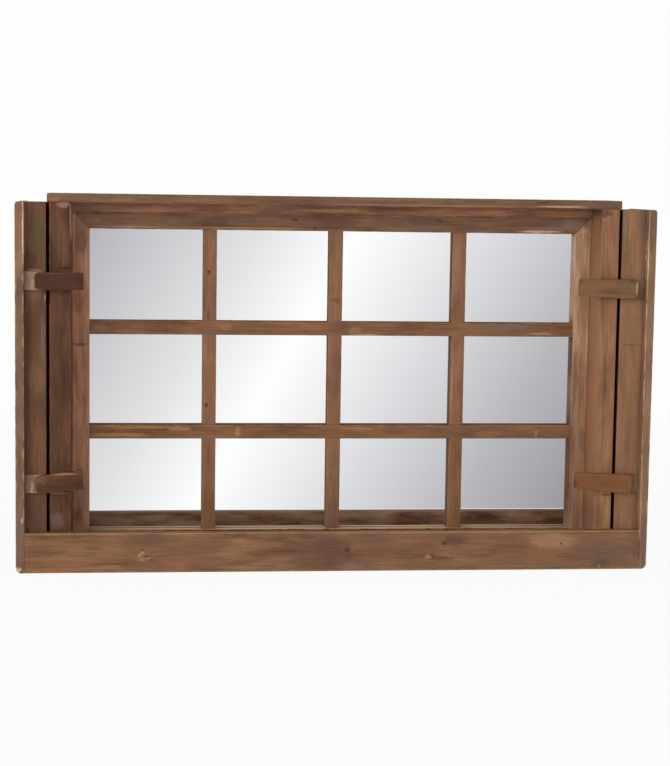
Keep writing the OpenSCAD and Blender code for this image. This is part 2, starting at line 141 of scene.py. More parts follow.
PAPER = "#fdfdfd"
ROOM = "#f6f2ec"
ROOM_STRENGTH = 0.5
SWEEP_SIZE = 60.0
SWEEP_SHOWN = 0.95
SWEEP_NEAR, SWEEP_FAR = 0.9, 2.4

room = scene.world or bpy.data.worlds.new("room")
scene.world = room
room.use_nodes = True
tree = room.node_tree
tree.nodes.clear()
shown = add(tree, "ShaderNodeBackground", {"Color": linear(PAPER), "Strength": 1.0})
light = add(tree, "ShaderNodeBackground", {"Color": linear(ROOM), "Strength": ROOM_STRENGTH})
choice = add(tree, "ShaderNodeMixShader", {0: picture_ray(tree), 1: light, 2: shown})
add(tree, "ShaderNodeOutputWorld", {"Surface": choice})

sweep_material, tree, place = new_material("white_paper_sweep")
paper = add(tree, "ShaderNodeBsdfDiffuse", {"Color": linear(PAPER)})
glow = add(tree, "ShaderNodeEmission", {"Color": linear(PAPER), "Strength": 1.0})
away = add(tree, "ShaderNodeVectorMath", {0: place}, operation="LENGTH")
white = add(tree, "ShaderNodeMapRange", {"Value": away.outputs["Value"], 1: SWEEP_NEAR,
                                         2: SWEEP_FAR, 3: SWEEP_SHOWN, 4: 1.0})
share = add(tree, "ShaderNodeMath", {0: picture_ray(tree), 1: white}, operation="MULTIPLY")
whole = add(tree, "ShaderNodeMixShader", {0: share, 1: paper, 2: glow})
add(tree, "ShaderNodeOutputMaterial", {"Surface": whole})
half = SWEEP_SIZE / 2
sweep = sheet("sweep", [(-half, -half, 0), (half, -half, 0), (half, half, 0), (-half, half, 0)],
              sweep_material)

AIM = (0, 0, 0.3)
lamp("key_lamp", (-2.6, -3.1, 1.5), (2.4, 2.0), 62, AIM)
lamp("fill_lamp", (1.5, -3.6, 1.0), (2.0, 1.8), 24, AIM)

# The card that the mirror sees: a large flat reflector whose white centre runs aslant and fades
# to grey at both sides. It stands close in front and is seen by reflections only.
CARD_Y = -0.42
CARD_SIZE = (2.6, 1.9)
CARD_MIDDLE = (0.06, 0.28)
CARD_TONES = ((-0.62, "#b2b2b5"), (-0.345, "#e1e1e2"), (-0.18, "#fefefe"), (0.05, "#dadadc"),
              (0.25, "#b8b7ba"), (0.42, "#9d9a9f"))
CARD_SLANT = math.radians(-30)
CARD_GLOW = 1.1

card_material, tree, place = new_material("reflector_card")
start, end = CARD_TONES[0][0], CARD_TONES[-1][0]
turned = add(tree, "ShaderNodeMapping",
             {"Vector": place, "Location": (CARD_MIDDLE[0], 0, CARD_MIDDLE[1])})
slanted = add(tree, "ShaderNodeMapping", {"Vector": turned, "Rotation": (0, CARD_SLANT, 0)})
band = add(tree, "ShaderNodeMapRange",
           {"Value": add(tree, "ShaderNodeSeparateXYZ", {0: slanted}).outputs["X"],
            1: start, 2: end})
tone = add(tree, "ShaderNodeValToRGB", {0: band})
stops = tone.color_ramp.elements
while len(stops) < len(CARD_TONES):
    stops.new(1.0)
for stop, (position, hex_colour) in zip(stops, CARD_TONES):
    stop.position = (position - start) / (end - start)
    stop.color = linear(hex_colour)
glow = add(tree, "ShaderNodeEmission", {"Color": tone, "Strength": CARD_GLOW})
add(tree, "ShaderNodeOutputMaterial", {"Surface": glow})
half_x, half_z = CARD_SIZE[0] / 2, CARD_SIZE[1] / 2
card = sheet("reflector_card", [(-half_x, 0, half_z), (half_x, 0, half_z), (half_x, 0, -half_z),
                                (-half_x, 0, -half_z)], card_material)
card.location = (CARD_MIDDLE[0], CARD_Y, CARD_MIDDLE[1])
card.visible_camera = False
card.visible_diffuse = False
card.visible_shadow = False
card.visible_transmission = False


# The side boards: planed pine on edge, 13.5 mm thick and the full depth of the object, nailed to
# the bottom board and the post caps, stained brown and then rubbed. Their front arrises are worn
# pale, a long pale line along each inner front arris is both worn wood and a painted highlight,
# and their outer corners are rounded by handling.
MM = 0.001
BOARD_SOCKETS = {
    "Size": "Vector", "Rings": "Int", "Layers": "Int", "Rows": "Int", "Arris": "Float",
    "Ends": "Float", "Wear": "Float", "Wobble": "Float", "Mitre": "Float", "Count": "Int",
    "Pitch": "Vector", "Seed": "Float", "Material": "Material"}
ARRIS_STEPS = 3
ALONG_BOARD = (0.4, 1, 1)
DENT_SPACING = 28 * MM
CHIP_SPACING = 9 * MM
WAVE_SPACING = 60 * MM
SHARP_ANGLE = math.radians(40)


def worn_board_tree():
    """A board along X, mitred if asked, with rounded arrises that are worn unevenly."""
    tree = bpy.data.node_groups.new("worn_board", "GeometryNodeTree")
    for name, kind in BOARD_SOCKETS.items():
        tree.interface.new_socket(name=name, in_out="INPUT", socket_type="NodeSocket" + kind)
    tree.interface.new_socket(name="Geometry", in_out="OUTPUT", socket_type="NodeSocketGeometry")
    given = add(tree, "NodeGroupInput").outputs

    # A unit box whose outermost steps on each side are gathered into the arris
    box = add(tree, "GeometryNodeMeshCube",
              {"Size": (1, 1, 1), "Vertices X": given["Rings"], "Vertices Y": given["Layers"],
               "Vertices Z": given["Rows"]})
    place = add(tree, "GeometryNodeInputPosition")
    side = add(tree, "ShaderNodeVectorMath", {0: place}, operation="SIGN")
    reach = add(tree, "ShaderNodeVectorMath", {0: place}, operation="ABSOLUTE")
    counts = add(tree, "ShaderNodeCombineXYZ", {0: given["Rings"], 1: given["Layers"],
                                                2: given["Rows"]})
    steps = add(tree, "ShaderNodeVectorMath", {0: counts, 1: (1, 1, 1)}, operation="SUBTRACT")
    eased = add(tree, "ShaderNodeCombineXYZ", {0: given["Ends"], 1: 1.0, 2: 1.0})
    gathered = add(tree, "ShaderNodeVectorMath", {0: eased, "Scale": ARRIS_STEPS},
                   operation="SCALE")
    band = add(tree, "ShaderNodeVectorMath", {0: gathered, 1: steps}, operation="DIVIDE")
    start = add(tree, "ShaderNodeVectorMath", {0: (0.5,) * 3, 1: band}, operation="SUBTRACT")
    half_size = add(tree, "ShaderNodeVectorMath", {0: given["Size"], "Scale": 0.5},
                    operation="SCALE")
    arris = add(tree, "ShaderNodeVectorMath", {0: eased, "Scale": given["Arris"]},
                operation="SCALE")
    flat_half = add(tree, "ShaderNodeVectorMath", {0: half_size, 1: arris}, operation="SUBTRACT")
    flat = add(tree, "ShaderNodeMapRange",
               {"Vector": reach, 7: (0, 0, 0), 8: start, 9: (0, 0, 0), 10: flat_half},
               data_type="FLOAT_VECTOR")
    past = add(tree, "ShaderNodeMapRange",
               {"Vector": reach, 7: start, 8: (0.5,) * 3, 9: (0, 0, 0), 10: arris},
               data_type="FLOAT_VECTOR")

    # The arris itself: what lies past the flat is drawn in from a cube on to a sphere
    outward = add(tree, "ShaderNodeVectorMath", {0: past.outputs["Vector"]}, operation="NORMALIZE")
    overs = add(tree, "ShaderNodeSeparateXYZ", {0: past.outputs["Vector"]})
    largest = overs.outputs["X"]
    for axis in "YZ":
        largest = add(tree, "ShaderNodeMath", {0: largest, 1: overs.outputs[axis]},
                      operation="MAXIMUM")
    rounded = add(tree, "ShaderNodeVectorMath", {0: outward, "Scale": largest},
                  operation="SCALE")
    cut = add(tree, "ShaderNodeVectorMath", {0: rounded, 1: past.outputs["Vector"]},
              operation="SUBTRACT")
    total = add(tree, "ShaderNodeVectorMath", {0: flat.outputs["Vector"], 1: rounded},
                operation="ADD")
    signed = add(tree, "ShaderNodeVectorMath", {0: total, 1: side}, operation="MULTIPLY")
    signed_cut = add(tree, "ShaderNodeVectorMath", {0: cut, 1: side}, operation="MULTIPLY")

    # The mitre shortens the board towards its lower edge
    parts = add(tree, "ShaderNodeSeparateXYZ", {0: signed})
    size = add(tree, "ShaderNodeSeparateXYZ", {0: given["Size"]})
    below = add(tree, "ShaderNodeMath", {0: parts.outputs["Z"], 1: -2.0, 2: size.outputs["Z"]},
                operation="MULTIPLY_ADD")
    share = add(tree, "ShaderNodeMath", {0: below, 1: size.outputs["X"]}, operation="DIVIDE")
    loss = add(tree, "ShaderNodeMath", {0: share, 1: given["Mitre"]}, operation="MULTIPLY")
    keep = add(tree, "ShaderNodeMath", {0: 1.0, 1: loss}, operation="SUBTRACT")
    along = add(tree, "ShaderNodeMath", {0: parts.outputs["X"], 1: keep}, operation="MULTIPLY")
    shaped = add(tree, "ShaderNodeCombineXYZ", {0: along, 1: parts.outputs["Y"],
                                                2: parts.outputs["Z"]})

    # Kept with each point: its side and its arris for the handling below, and how far it lies
    # from the faces beside it, for the finish of the arrises
    inset = add(tree, "ShaderNodeVectorMath", {0: half_size, 1: total}, operation="SUBTRACT")
    stored = box.outputs["Mesh"]
    for name, value in (("side", side), ("cut", signed_cut), ("inset", inset)):
        stored = add(tree, "GeometryNodeStoreNamedAttribute",
                     {"Geometry": stored, "Name": name, "Value": value}, data_type="FLOAT_VECTOR")
    board = add(tree, "GeometryNodeSetPosition", {"Geometry": stored, "Position": shaped})

    # As many boards as asked, side by side
    line = add(tree, "GeometryNodeMeshLine", {"Count": given["Count"], "Offset": given["Pitch"]})
    row = add(tree, "GeometryNodeInstanceOnPoints", {"Points": line, "Instance": board})
    solid = add(tree, "GeometryNodeRealizeInstances", {"Geometry": row})

    # Handling: long soft dents and short chips deepen the arrises, and the faces wave a little
    here = add(tree, "ShaderNodeVectorMath", {0: add(tree, "GeometryNodeInputPosition"),
                                              1: ALONG_BOARD}, operation="MULTIPLY")
    dents, chips, waves = [
        add(tree, "ShaderNodeTexNoise",
            {"Vector": here, "W": given["Seed"], "Scale": 1 / spacing, "Detail": detail},
            noise_dimensions="4D")
        for spacing, detail in ((DENT_SPACING, 2.0), (CHIP_SPACING, 1.0), (WAVE_SPACING, 1.0))]
    dent = add(tree, "ShaderNodeMapRange", {"Value": dents, 1: 0.42, 2: 0.68})
    chip = add(tree, "ShaderNodeMapRange", {"Value": chips, 1: 0.60, 2: 0.72})
    rubbed = add(tree, "ShaderNodeMath", {0: dent, 1: chip}, operation="ADD")
    depth = add(tree, "ShaderNodeMath", {0: rubbed, 1: given["Wear"]}, operation="MULTIPLY")
    kept_side, kept_cut = [add(tree, "GeometryNodeInputNamedAttribute", {"Name": name},
                               data_type="FLOAT_VECTOR") for name in ("side", "cut")]
    worn = add(tree, "ShaderNodeVectorMath", {0: kept_cut, "Scale": depth}, operation="SCALE")
    sunk = add(tree, "ShaderNodeVectorMath", {0: waves.outputs["Color"], 1: kept_side},
               operation="MULTIPLY")
    wobble = add(tree, "ShaderNodeMath", {0: given["Wobble"], 1: -1.0}, operation="MULTIPLY")
    waved = add(tree, "ShaderNodeVectorMath", {0: sunk, "Scale": wobble}, operation="SCALE")
    shift = add(tree, "ShaderNodeVectorMath", {0: worn, 1: waved}, operation="ADD")
    moved = add(tree, "GeometryNodeSetPosition", {"Geometry": solid, "Offset": shift})

    finish = moved
    for name in ("side", "cut"):
        finish = add(tree, "GeometryNodeRemoveAttribute", {"Geometry": finish, "Name": name})
    smooth = add(tree, "GeometryNodeSetShadeSmooth", {"Geometry": finish})
    done = add(tree, "GeometryNodeSetMaterial", {"Geometry": smooth,
                                                 "Material": given["Material"]})
    add(tree, "NodeGroupOutput", {"Geometry": done})
    return tree


board_tree = worn_board_tree()
LEVEL, UPRIGHT, LEVEL_TURNED, UPRIGHT_TURNED = 0, -90, 180, 90


def worn_board(name, nodes, material, turn=LEVEL, seed=0.0, slot="stained_pine", **sizes):
    """A worn board in the place of like CAD nodes, with its grain along X or, upright, along Z."""
    corners = [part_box(node) for node in nodes]
    low, high = corners[0]
    extent = high - low
    upright = turn in (UPRIGHT, UPRIGHT_TURNED)
    size = Vector((extent.z, extent.y, extent.x)) if upright else extent
    middles = [(a + b) / 2 for a, b in corners]
    centre = (middles[0] + middles[-1]) / 2
    rotation = Matrix.Rotation(math.radians(turn), 4, "Y")
    values = {"Size": size, "Rings": 140, "Layers": 11, "Rows": 13, "Arris": 1.6 * MM,
              "Ends": 0.0, "Wear": 0.9, "Wobble": 0.2 * MM, "Mitre": 0.0, "Count": len(nodes),
              "Pitch": Vector((0, 0, 0)), "Seed": seed, "Material": material}
    values.update(sizes)
    if len(nodes) > 1:
        values["Pitch"] = rotation.to_3x3().inverted() @ (middles[1] - middles[0])

    holder = bpy.data.objects.new(name, bpy.data.meshes.new(name))
    scene.collection.objects.link(holder)
    modifier = holder.modifiers.new("board", "NODES")
    modifier.node_group = board_tree
    for item in board_tree.interface.items_tree:
        if item.in_out == "INPUT":
            modifier[item.identifier] = values[item.name]
    bpy.context.view_layer.update()
    depsgraph = bpy.context.evaluated_depsgraph_get()
    mesh = bpy.data.meshes.new_from_object(holder.evaluated_get(depsgraph), depsgraph=depsgraph,
                                           preserve_all_data_layers=True)
    bpy.data.objects.remove(holder)
    offset = values["Pitch"] * (len(nodes) - 1) / 2
    mesh.transform(Matrix.Translation(centre) @ rotation @ Matrix.Translation(-offset))
    mesh.name = name
    mesh.set_sharp_from_angle(angle=SHARP_ANGLE)
    piece = bpy.data.objects.new(name, mesh)
    scene.collection.objects.link(piece)
    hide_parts(*nodes)
    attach(piece, frame["nodes"][nodes[0]]["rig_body"])
    return piece


def round_corner(piece, corner, inward, radius):
    """Rounds one square corner, at x and z, of a board's outline as it is seen from the front."""
    centre_x, centre_z = corner[0] + inward[0] * radius, corner[1] + inward[1] * radius
    for vertex in piece.data.vertices:
        out_x = (centre_x - vertex.co.x) * inward[0]
        out_z = (centre_z - vertex.co.z) * inward[1]
        if out_x > 0 and out_z > 0:
            shrink = max(out_x, out_z) / math.hypot(out_x, out_z)
            vertex.co.x = centre_x - inward[0] * out_x * shrink
            vertex.co.z = centre_z - inward[1] * out_z * shrink


# Stained pine, planed, brushed with a brown stain and waxed: growth rings about 5 mm apart run
# along the board and bend round its knots, the stain lies in streaks and patches with a dull
# bloom over it, and bare wood shows on worn arrises.
WAVE_SPACING_AT_1 = math.tau / 20
RING_SPACING = 5 * MM
PITH = (0, 60 * MM, 20 * MM)
PITH_LEAN = (0, math.radians(1.2), math.radians(1.8))
PITH_STRETCH = (0.12, 1, 1)
STREAK = (60 * MM, 5 * MM)
FIBRE = (34 * MM, 1.8 * MM)
PATCH = (90 * MM, 22 * MM)
CRACK = (90 * MM, 4 * MM)
TEAR = (9 * MM, 2.4 * MM)
TEAR_SPACING = 7 * MM
RUB_SPACING = 16 * MM
GRAIN_RELIEF = 0.3 * MM
SEED_STEP = (1.0, 0.37, 0.73)
KNOT_STRETCH = 1.5
KNOT_PUSH = 9 * MM
KNOT_COLOUR = "#3d271b"
CRACK_COLOUR = "#33201a"
PAINTED_SHADING_FADE = 0.6 * MM


def from_spot(tree, place, x, z, along, across):
    """How far a place lies from a spot at x and z in mm, in the spot's half length and height."""
    spot = add(tree, "ShaderNodeMapping",
               {"Vector": place, "Location": (-x * MM / along, 0, -z * MM / across),
                "Scale": (1 / along, 0, 1 / across)})
    return add(tree, "ShaderNodeVectorMath", {0: spot}, operation="LENGTH").outputs["Value"]


def lay_over(tree, colour, layers):
    """Lays each colour over those before it, as far as its cover says."""
    for cover, hex_colour in layers:
        colour = add(tree, "ShaderNodeMix", {0: cover, 6: colour, 7: linear(hex_colour)},
                     data_type="RGBA").outputs[2]
    return colour


def stained_pine(name, tones, turn=LEVEL, bare="#b08a64", bloom="#6e564c", bloom_share=0.3,
                 rub=(0.2, 4.0), seed=0.0, marks=(), knots=(), painted_shading=None, figure=0.75):
    """tones: the dark, middle and light of the stain. bare: the colour of rubbed arrises, and rub
    their least and most width in mm, or None. bloom: the colour of dull patches. A mark is a
    stain, a bare patch, or in a few places a painted highlight or painted shade, as x, z, half
    length and half height in mm, colour and strength; a knot is x, z and radius in mm.
    painted_shading: a y in mm, and the colour and mean strength of the patchy painted light or
    shade that lies behind it. figure: how strongly the fibres and the late wood show."""
    material, tree, place = new_material(name)
    upright = turn in (UPRIGHT, UPRIGHT_TURNED)

    # Knots push the rings aside and are dark, resinous discs themselves
    push, core = 0.0, 0.0
    for x, z, radius in knots:
        along, across = KNOT_STRETCH * radius * MM, radius * MM
        if upright:
            along, across = across, along
        away = from_spot(tree, place, x, z, along, across)
        bend = add(tree, "ShaderNodeMapRange", {"Value": away, 1: 0.4, 2: 3.2, 3: 1.0, 4: 0.0},
                   interpolation_type="SMOOTHERSTEP")
        disc = add(tree, "ShaderNodeMapRange", {"Value": away, 1: 0.5, 2: 1.2, 3: 0.6, 4: 0.0},
                   interpolation_type="SMOOTHSTEP")
        push = add(tree, "ShaderNodeMath", {0: push, 1: bend}, operation="MAXIMUM")
        core = add(tree, "ShaderNodeMath", {0: core, 1: disc}, operation="MAXIMUM")

    # The grain lies along the first axis from here on, and each seed is another place in the log
    grain = add(tree, "ShaderNodeMapping",
                {"Vector": place, "Rotation": (0, math.radians(-90 if upright else 0), 0)})
    grain = add(tree, "ShaderNodeVectorMath", {0: grain, 1: [seed * step for step in SEED_STEP]},
                operation="ADD")
    if knots:
        pushed = add(tree, "ShaderNodeMath", {0: push, 1: KNOT_PUSH}, operation="MULTIPLY")
        aside = add(tree, "ShaderNodeCombineXYZ", {2: pushed})
        grain = add(tree, "ShaderNodeVectorMath", {0: grain, 1: aside}, operation="ADD")

    # Growth rings, streaks, fibres, patches and fine cracks, each drawn out along the grain
    noises = {}
    for label, (length, width), detail in (("streak", STREAK, 4.0), ("fibre", FIBRE, 3.0),
                                           ("patch", PATCH, 3.0), ("crack", CRACK, 2.0)):
        drawn = add(tree, "ShaderNodeVectorMath", {0: grain, 1: (1 / length, 1 / width, 1 / width)},
                    operation="MULTIPLY")
        noises[label] = add(tree, "ShaderNodeTexNoise",
                            {"Vector": drawn, "Scale": 1.0, "Detail": detail, "Roughness": 0.6})
    pith = add(tree, "ShaderNodeMapping", {"Vector": grain, "Location": PITH,
                                           "Rotation": PITH_LEAN, "Scale": PITH_STRETCH})
    rings = add(tree, "ShaderNodeTexWave",
                {"Vector": pith, "Scale": WAVE_SPACING_AT_1 / RING_SPACING, "Distortion": 2.5,
                 "Detail": 2.0, "Detail Scale": 0.6},
                wave_type="RINGS", rings_direction="X", wave_profile="SAW")
    depth = add(tree, "ShaderNodeMath", {0: noises["streak"], 1: 0.5, 2: -0.225},
                operation="MULTIPLY_ADD")
    depth = add(tree, "ShaderNodeMath", {0: noises["patch"].outputs["Color"], 1: 0.95, 2: depth},
                operation="MULTIPLY_ADD")
    stain = add(tree, "ShaderNodeValToRGB", {0: depth})
    stops = stain.color_ramp.elements
    stops[0].position, stops[1].position = 0.28, 0.74
    stops.new(0.5)
    for stop, hex_colour in zip(stops, tones):
        stop.color = linear(hex_colour)

    # A grey or red bloom lies in patches
    bloomed = add(tree, "ShaderNodeMapRange",
                  {"Value": noises["patch"], 1: 0.66 - 0.34 * bloom_share,
                   2: 0.80 - 0.34 * bloom_share, 3: 0.0, 4: 0.75})
    layers = [(bloomed, bloom)]

    # Rubbed arrises: bare wood up to a width that changes along the board
    if rub is not None:
        insets = add(tree, "ShaderNodeSeparateXYZ", {0: add(
            tree, "ShaderNodeAttribute", attribute_name="inset").outputs["Vector"]})
        near = add(tree, "ShaderNodeMath", {0: insets.outputs["Y"], 1: insets.outputs["Z"]},
                   operation="MAXIMUM")
        rubbing = add(tree, "ShaderNodeTexNoise", {"Vector": grain, "Scale": 1 / RUB_SPACING,
                                                   "Detail": 3.0})
        width = add(tree, "ShaderNodeMapRange", {"Value": rubbing, 1: 0.40, 2: 0.70,
                                                 3: rub[0] * MM, 4: rub[1] * MM})
        bared = add(tree, "ShaderNodeMapRange", {"Value": near, 1: 0.0, 2: width, 3: 0.9, 4: 0.0})
        layers.append((bared, bare))

    # Marks are torn along the grain
    ripped = add(tree, "ShaderNodeTexNoise", {"Vector": place, "Scale": 1 / TEAR_SPACING,
                                              "Detail": 3.0})
    ripped = add(tree, "ShaderNodeVectorMath", {0: ripped.outputs["Color"], 1: (0.5,) * 3},
                 operation="SUBTRACT")
    tear = (TEAR[1], 0, TEAR[0]) if upright else (TEAR[0], 0, TEAR[1])
    for x, z, along, across, hex_colour, strength in marks:
        along, across = along * MM, across * MM
        amount = min(1.0, along / tear[0], across / tear[2])
        torn = add(tree, "ShaderNodeVectorMath",
                   {0: ripped, 1: [2 * amount * reach for reach in tear], 2: place},
                   operation="MULTIPLY_ADD")
        away = from_spot(tree, torn, x, z, along, across)
        cover = add(tree, "ShaderNodeMapRange",
                    {"Value": away, 1: 0.5, 2: 1.3, 3: strength, 4: 0.0},
                    interpolation_type="SMOOTHSTEP")
        layers.append((cover, hex_colour))
    colour = lay_over(tree, stain, layers)

    # The figure of the wood: fibres and late wood darken everything a little
    late = add(tree, "ShaderNodeMath", {0: rings, 1: -0.14 * figure, 2: 1.0 - 0.22 * figure},
               operation="MULTIPLY_ADD")
    shade = add(tree, "ShaderNodeMath", {0: noises["fibre"], 1: 0.58 * figure, 2: late},
                operation="MULTIPLY_ADD")
    colour = add(tree, "ShaderNodeVectorMath", {0: colour, "Scale": shade}, operation="SCALE")
    layers = [(core, KNOT_COLOUR)] if knots else []

    # Fine dark cracks along the grain, in a few places
    split = add(tree, "ShaderNodeMath", {0: noises["crack"], 1: 0.5}, operation="SUBTRACT")
    split = add(tree, "ShaderNodeMath", {0: split}, operation="ABSOLUTE")
    line = add(tree, "ShaderNodeMapRange", {"Value": split, 1: 0.003, 2: 0.014, 3: 1.0, 4: 0.0})
    rare = add(tree, "ShaderNodeMapRange", {"Value": noises["streak"].outputs["Color"], 1: 0.52,
                                            2: 0.62, 3: 0.0, 4: 0.5})
    crack = add(tree, "ShaderNodeMath", {0: line, 1: rare}, operation="MULTIPLY")
    layers.append((crack, CRACK_COLOUR))

    # Painted shading behind a y, on a board's sides and back, patchy in strength: darker where it
    # is painted shade, paler where it is painted light
    if painted_shading is not None:
        back_y, hex_colour, strength = painted_shading
        spread = min(strength, 1 - strength)
        uneven = add(tree, "ShaderNodeMapRange",
                     {"Value": noises["patch"], 1: 0.38, 2: 0.62, 3: strength - spread,
                      4: strength + spread})
        behind = add(tree, "ShaderNodeMapRange",
                     {"Value": add(tree, "ShaderNodeSeparateXYZ", {0: place}).outputs["Y"],
                      1: back_y * MM - PAINTED_SHADING_FADE, 2: back_y * MM + PAINTED_SHADING_FADE, 3: 0.0,
                      4: uneven})
        layers.append((behind, hex_colour))
    colour = lay_over(tree, colour, layers)

    # Waxed wood is half dull, duller under the painted shading, and its cracks are sunk
    rough = add(tree, "ShaderNodeMapRange", {"Value": noises["streak"], 1: 0.3, 2: 0.7, 3: 0.5,
                                             4: 0.72})
    if painted_shading is not None:
        rough = add(tree, "ShaderNodeMath", {0: rough, 1: behind}, operation="ADD", use_clamp=True)
    height = add(tree, "ShaderNodeMath", {0: rings, 1: 0.5, 2: noises["fibre"]},
                 operation="MULTIPLY_ADD")
    height = add(tree, "ShaderNodeMath", {0: crack, 1: -2.0, 2: height}, operation="MULTIPLY_ADD")
    relief = add(tree, "ShaderNodeBump", {"Strength": 0.5, "Distance": GRAIN_RELIEF,
                                          "Height": height})
    wood = add(tree, "ShaderNodeBsdfPrincipled",
               {"Base Color": colour, "Roughness": rough, "Normal": relief, "IOR": 1.48,
                "Specular IOR Level": 0.15})
    add(tree, "ShaderNodeOutputMaterial", {"Surface": wood})
    return material


SIDE_TOP_RADIUS = 4.5 * MM
SIDE_FOOT_RADIUS = 9 * MM
SIDE_TONES = {"left": ("#664b39", "#7f634e", "#967558"),
              "right": ("#7d5b47", "#927056", "#a68161")}
SIDE_BLOOM = {"left": "#705c4e", "right": "#7c6152"}
# The long pale lines on the inner front arrises are worn wood and a painted highlight
SIDE_MARKS = {
    "left": ((-494, 534, 9, 42, "#8f6b4d", 0.6), (-487.6, 29, 1.5, 31, "#7d6047", 0.9),
             (-493, 483, 6, 21, "#97795a", 0.6), (-487, 530, 1.8, 48, "#e0c6a6", 0.9),
             (-495, 66, 9, 41, "#7b655a", 0.7), (-490, 83, 2.3, 4, "#c9a67c", 0.7),
             (-497, 6, 6, 4, "#d8c2a0", 0.85), (-488, 279, 2.3, 62, "#7a5c44", 0.5)),
    "right": ((487.6, 29, 1.5, 31, "#6f5240", 0.9), (487.6, 511, 0.9, 66, "#dcbfa4", 0.75),
              (493, 565, 6.4, 16, "#725a50", 0.7), (494, 540, 9, 32, "#6f5748", 0.65),
              (495, 460, 6, 26, "#6f5440", 0.45), (497, 433, 5, 95, "#86694f", 0.5),
              (488, 125, 2.6, 65, "#ad8865", 0.7), (495, 47, 5, 49, "#75594e", 0.6),
              (495, 112, 2, 97, "#7c6a4c", 0.5))}
for label, sign, seed in (("left", -1, 1.3), ("right", 1, 2.9)):
    pine = stained_pine(f"stained_pine_side_{label}", SIDE_TONES[label], UPRIGHT, bare="#c9a67c",
                        bloom=SIDE_BLOOM[label], bloom_share=0.5, seed=seed,
                        marks=SIDE_MARKS[label])
    node = f"side_board_{label}"
    low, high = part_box(node)
    outer = high.x if sign > 0 else low.x
    piece = worn_board(f"worn_{node}", [node], pine, UPRIGHT, seed, "worn_stained_pine",
                       Rings=240, Arris=1.0 * MM, Ends=1.0)
    round_corner(piece, (outer, high.z), (-sign, -1), SIDE_TOP_RADIUS)
    round_corner(piece, (outer, low.z), (-sign, 1), SIDE_FOOT_RADIUS)

# The bottom board, the post boards that stand inside the side boards, behind the front board's
# ends, and the small caps that close the hollow posts at the top. All are planed pine. The left
# post is darker than the right, and on both the sides in the slots are painted dark red brown on
# the left and near black on the right, as painted shade of the deep slots.
POST_TONES = {"left": ("#573c28", "#6c4a36", "#815b43"), "right": ("#79583e", "#916a50", "#a37c59")}
POST_BLOOM = {"left": "#64493a", "right": "#936647"}
POST_MARKS = {
    "left": ((-471, 522, 17, 48, "#4d392b", 0.4), (-465, 528, 7.6, 27, "#565034", 0.6),
             (-478, 484, 12, 18, "#4f342a", 0.7), (-469, 470, 14, 1.4, "#9a795c", 0.8),
             (-469, 467, 14, 1.4, "#36211a", 0.8), (-455, 427, 0.9, 6, "#bda282", 0.7),
             (-458, 362, 3.8, 34, "#7d6650", 0.6), (-472, 431, 12, 9, "#7b6150", 0.5),
             (-471, 89, 14, 20, "#5d4036", 0.5), (-468, 300, 14, 30, "#93704f", 0.4),
             (-463, 160, 6, 14, "#7b5b41", 0.5)),
    "right": ((462, 555, 5, 38, "#a0764c", 0.6), (480, 555, 6.5, 28, "#7a6054", 0.6),
              (453, 542, 2.4, 47, "#77705a", 0.5), (472, 444, 6.5, 16, "#6f5646", 0.5),
              (467, 360, 15, 1.3, "#6b4e3a", 0.6), (465, 271, 5, 64, "#95704c", 0.4))}
# Painted shade of the deep slots on the posts' sides, as a y in mm, colour and strength
SLOT_PAINTED_SHADE = {"left": (-43.0, "#70290e", 0.85), "right": (-44.5, "#2c0f04", 0.9)}
for label, seed in (("left", 4.1), ("right", 5.7)):
    slot = "dark_stained_pine" if label == "left" else "stained_pine"
    pine = stained_pine(f"stained_pine_post_{label}", POST_TONES[label], UPRIGHT, seed=seed,
                        bloom=POST_BLOOM[label], bloom_share=0.4, rub=(0.1, 1.2),
                        bare="#93725a", marks=POST_MARKS[label], painted_shading=SLOT_PAINTED_SHADE[label])
    worn_board(f"worn_post_board_{label}", [f"post_board_{label}"], pine, UPRIGHT, seed, slot,
               Arris=0.5 * MM)
    cap_pine = stained_pine(f"stained_pine_cap_{label}", POST_TONES[label], seed=seed + 0.4)
    worn_board(f"worn_post_cap_{label}", [f"post_cap_{label}"], cap_pine, LEVEL, seed, slot,
               Rings=12, Arris=0.5 * MM)
LOW_TONES = ("#4a3327", "#6b4a36", "#80593f")
base_pine = stained_pine("stained_pine_base", LOW_TONES, seed=6.2)
worn_board("worn_bottom_board", ["bottom_board"], base_pine, seed=6.2, Arris=0.8 * MM)
